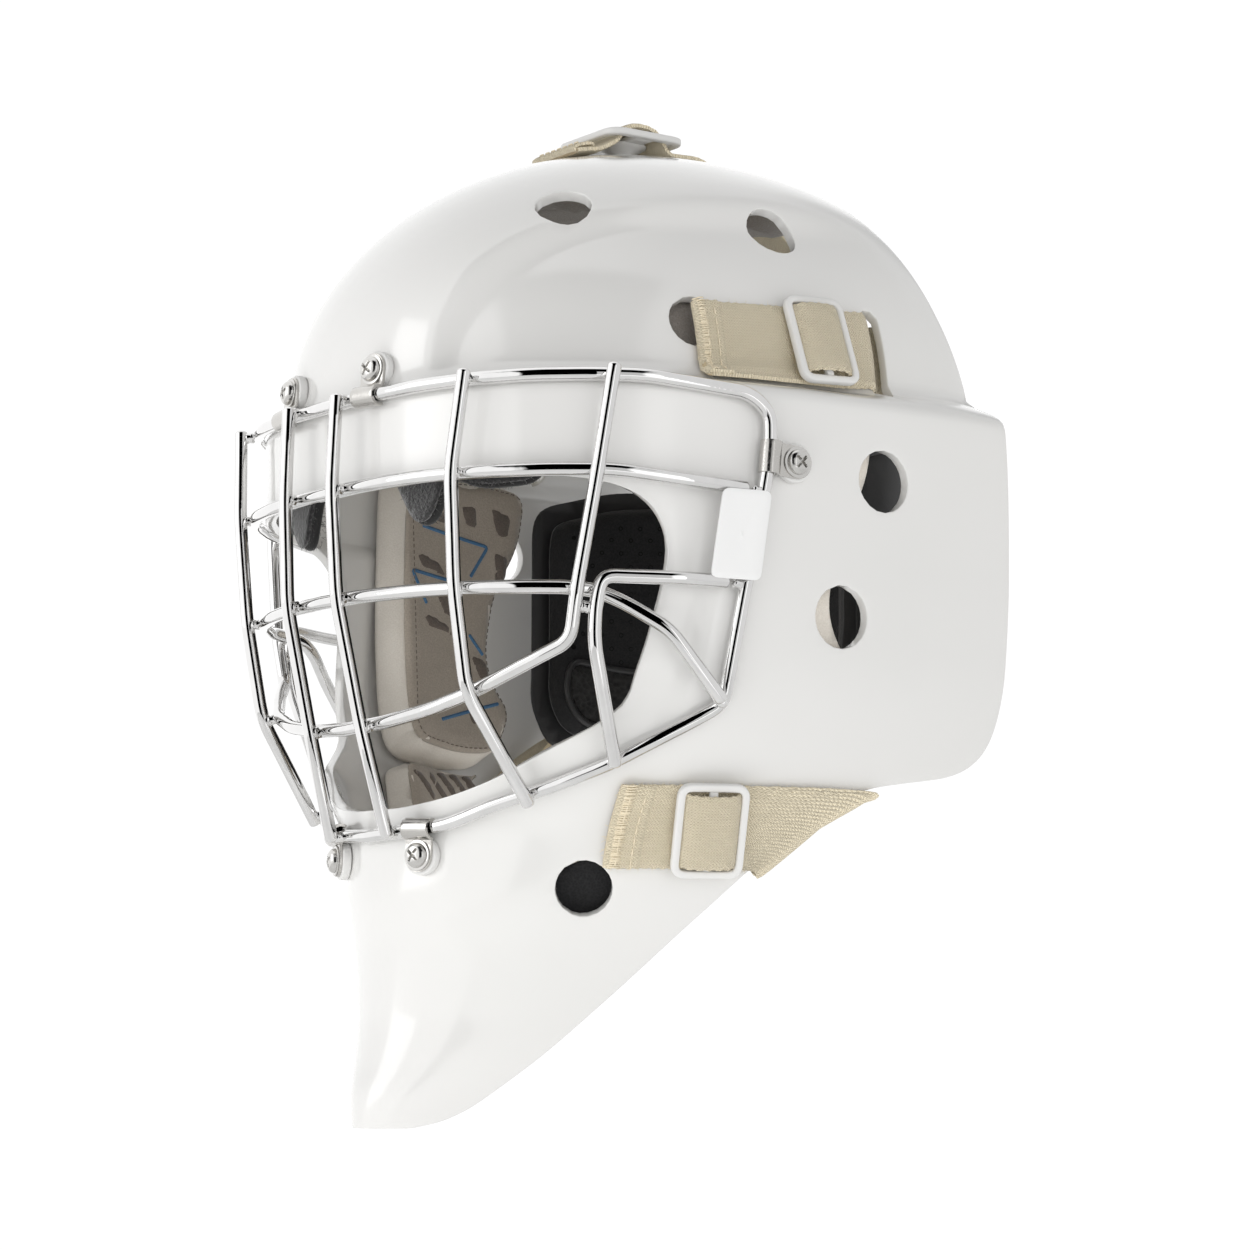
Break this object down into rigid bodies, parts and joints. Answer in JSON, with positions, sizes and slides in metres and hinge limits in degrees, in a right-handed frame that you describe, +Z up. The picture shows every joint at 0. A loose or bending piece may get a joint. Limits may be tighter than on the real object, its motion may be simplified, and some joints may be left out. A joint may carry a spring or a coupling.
{
  "type": "ice hockey goalie mask",
  "caption": "Moulded full-head goalie mask: white shell with a bent-wire face cage, elastic straps with slide buckles, inner pads, a hanging backplate and a chin cup.",
  "frame": {"origin": "middle of the wearer's head, on the mid-plane at the height of the ear canals", "axes": "+Z up, the mask faces -Y, the wearer's left is +X"},
  "size_m": [0.2486, 0.2432, 0.3624],
  "materials": {
    "white_shell": "glossy gel-coated moulding, slightly warm white",
    "chrome_wire": "polished round wire",
    "steel": "polished stamped steel",
    "label_sheet": "satin white sheet, left blank",
    "white_plastic": "satin moulded nylon",
    "webbing": "knitted elastic, cream",
    "terry_fabric": "brushed black fabric with a piped edge",
    "pad_foam": "fabric-faced foam, taupe",
    "cup_leather": "soft padded leather",
    "black_plastic": "satin, fine-textured",
    "black_foam": "perforated foam, black"
  },
  "bodies": {
    "mask": {"brow_left_clip": "steel", "brow_left_nut": "steel", "brow_left_screw": "steel", "brow_left_washer": "white_plastic", "brow_right_clip": "steel", "brow_right_nut": "steel", "brow_right_screw": "steel", "brow_right_washer": "white_plastic", "cage_brow_bar": "chrome_wire", "cage_centre_bar_left": "chrome_wire", "cage_centre_bar_right": "chrome_wire", "cage_cheek_bar_left": "chrome_wire", "cage_cheek_bar_right": "chrome_wire", "cage_eye_bar": "chrome_wire", "cage_label_plate": "label_sheet", "cage_lower_bar": "chrome_wire", "cage_outer_bar_left": "chrome_wire", "cage_outer_bar_right": "chrome_wire", "cage_perimeter": "chrome_wire", "cheek_pad_left": "pad_foam", "cheek_pad_right": "pad_foam", "chin_left_clip": "steel", "chin_left_nut": "steel", "chin_left_screw": "steel", "chin_left_washer": "white_plastic", "chin_pad_left": "black_foam", "chin_pad_right": "black_foam", "chin_right_clip": "steel", "chin_right_nut": "steel", "chin_right_screw": "steel", "chin_right_washer": "white_plastic", "crown_bracket": "white_plastic", "crown_pad": "pad_foam", "crown_strap": "webbing", "jaw_pad_left": "pad_foam", "jaw_pad_right": "pad_foam", "jaw_strap_left": "webbing", "jaw_strap_right": "webbing", "shell": "white_shell", "sweatband": "terry_fabric", "temple_left_clip": "steel", "temple_left_nut": "steel", "temple_left_screw": "steel", "temple_left_washer": "white_plastic", "temple_pad_left": "pad_foam", "temple_pad_right": "pad_foam", "temple_right_clip": "steel", "temple_right_nut": "steel", "temple_right_screw": "steel", "temple_right_washer": "white_plastic", "temple_strap_left": "webbing", "temple_strap_right": "webbing"},
    "backplate": {"backplate": "black_plastic", "backplate_liner": "black_foam"},
    "chin_cup": {"chin_cup": "cup_leather"},
    "temple_slider_left": {"temple_slider_left": "white_plastic"},
    "temple_slider_right": {"temple_slider_right": "white_plastic"},
    "jaw_slider_left": {"jaw_slider_left": "white_plastic"},
    "jaw_slider_right": {"jaw_slider_right": "white_plastic"}
  },
  "joints": [
    {"name": "backplate_swing", "type": "hinge", "parent": "mask", "child": "backplate", "pos_m": [0, 0.06, 0.15], "axis": [1, 0, 0], "range_deg": [0, 15], "deforming": ["crown_strap", "temple_strap_left", "temple_strap_right", "jaw_strap_left", "jaw_strap_right"]},
    {"name": "chin_cup_swing", "type": "hinge", "parent": "mask", "child": "chin_cup", "pos_m": [0, -0.0638, -0.072], "axis": [1, 0, 0], "range_deg": [-12, 12]},
    {"name": "temple_slider_left_slide", "type": "slide", "parent": "mask", "child": "temple_slider_left", "axis": [0.0173, 0.999, 0.0424], "range_m": [-0.012, 0.008], "deforming": ["temple_strap_left"]},
    {"name": "jaw_slider_left_slide", "type": "slide", "parent": "mask", "child": "jaw_slider_left", "axis": [0.3618, 0.9322, -0.002], "range_m": [-0.008, 0.006], "deforming": ["jaw_strap_left"]},
    {"name": "temple_slider_right_slide", "type": "slide", "parent": "mask", "child": "temple_slider_right", "axis": [-0.0173, 0.999, 0.0424], "range_m": [-0.012, 0.008], "deforming": ["temple_strap_right"]},
    {"name": "jaw_slider_right_slide", "type": "slide", "parent": "mask", "child": "jaw_slider_right", "axis": [-0.3618, 0.9322, -0.002], "range_m": [-0.008, 0.006], "deforming": ["jaw_strap_right"]}
  ]
}
